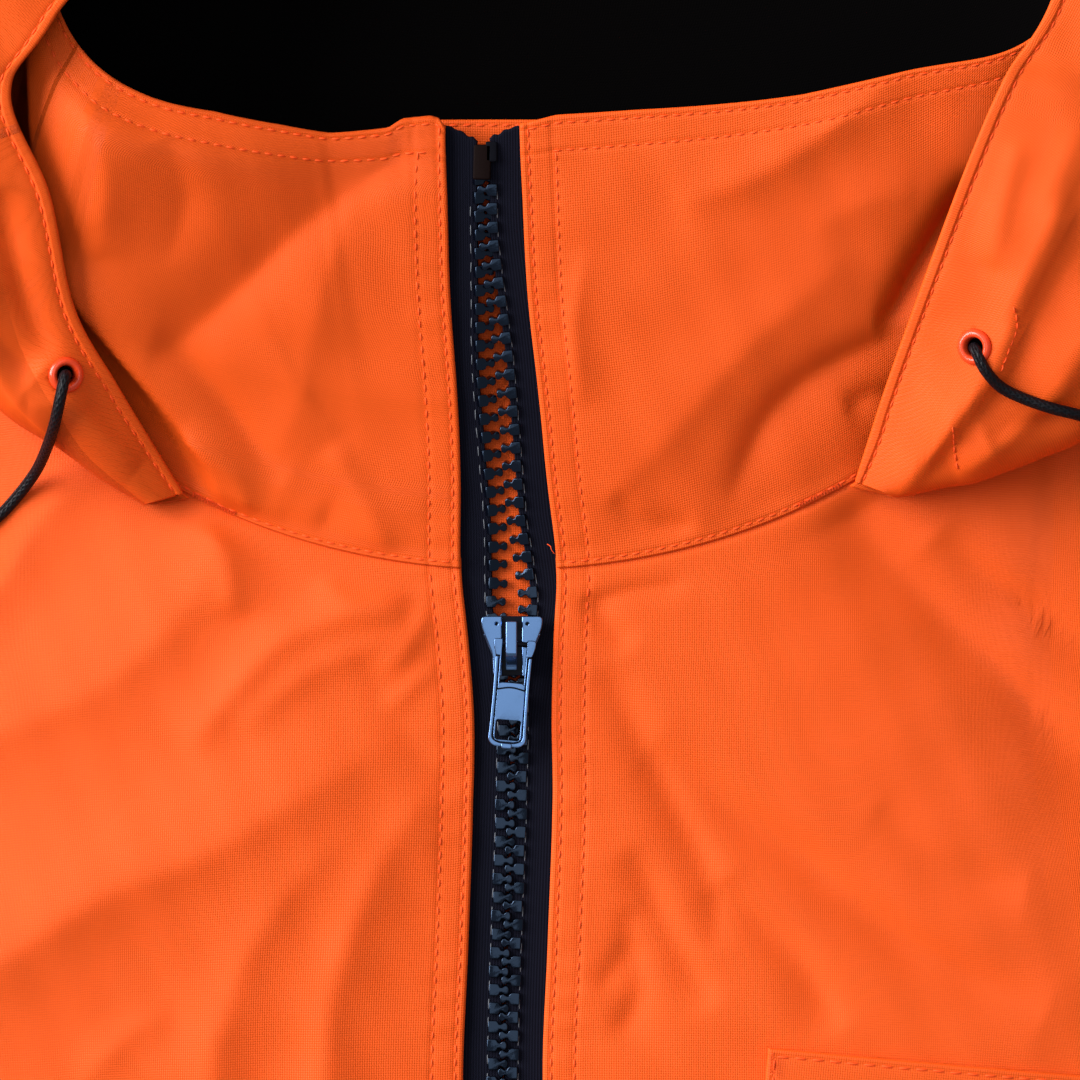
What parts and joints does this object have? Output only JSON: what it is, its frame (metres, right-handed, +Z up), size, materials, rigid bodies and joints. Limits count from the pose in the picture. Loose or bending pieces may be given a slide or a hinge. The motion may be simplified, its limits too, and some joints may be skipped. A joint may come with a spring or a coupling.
{
  "type": "hi-vis work jacket",
  "caption": "Hooded hi-vis work jacket with a stand-up collar, moulded zip, drawcords, chest pocket and reflective bands, laid flat on its back.",
  "frame": {"origin": "middle of the laid-out jacket's footprint, on the surface it lies on", "axes": "+Z up off the surface, +Y from the hem to the hood, +X to the wearer's left"},
  "size_m": [1.3514, 1.0447, 0.0567],
  "materials": {
    "shell": "bright orange coated plain weave, slight sheen",
    "lining": "black, matt",
    "reflective": "silver-grey retroreflective tape",
    "zip_tape": "navy-black knitted tape",
    "zip_teeth": "navy-black moulded",
    "zip_metal": "glossy navy enamel",
    "eyelet": "glossy orange-red",
    "cord": "black elastic cord"
  },
  "bodies": {
    "jacket": {"back": "shell", "front_left": "shell", "front_right": "shell", "sleeve_left": "shell", "sleeve_right": "shell", "collar": "shell", "hood_left": "shell", "hood_right": "shell", "hood_centre": "shell", "chest_pocket": "shell", "zip_guard": "shell", "collar_lining": "lining", "hood_lining_left": "lining", "hood_lining_right": "lining", "hood_lining_centre": "lining", "band_back_upper": "reflective", "band_back_lower": "reflective", "band_front_left_upper": "reflective", "sleeve_band_left_upper": "reflective", "band_front_left_lower": "reflective", "sleeve_band_left_lower": "reflective", "zip_tape_left": "zip_tape", "zip_teeth_left": "zip_teeth", "top_stop_left": "zip_teeth", "eyelet_left": "eyelet", "drawcord_left": "cord", "cord_knot_left": "cord", "band_front_right_upper": "reflective", "sleeve_band_right_upper": "reflective", "band_front_right_lower": "reflective", "sleeve_band_right_lower": "reflective", "zip_tape_right": "zip_tape", "zip_teeth_right": "zip_teeth", "top_stop_right": "zip_teeth", "eyelet_right": "eyelet", "drawcord_right": "cord", "cord_knot_right": "cord", "zip_box": "zip_teeth", "slider": "zip_metal"},
    "pull": {"pull_tab": "zip_metal"}
  },
  "joints": [
    {"name": "pull_tab_flip", "type": "hinge", "parent": "jacket", "child": "pull", "pos_m": [0.0013, 0.17215, 0.02512], "axis": [-0.9965, 0.0837, 0], "range_deg": [0, 150]}
  ]
}
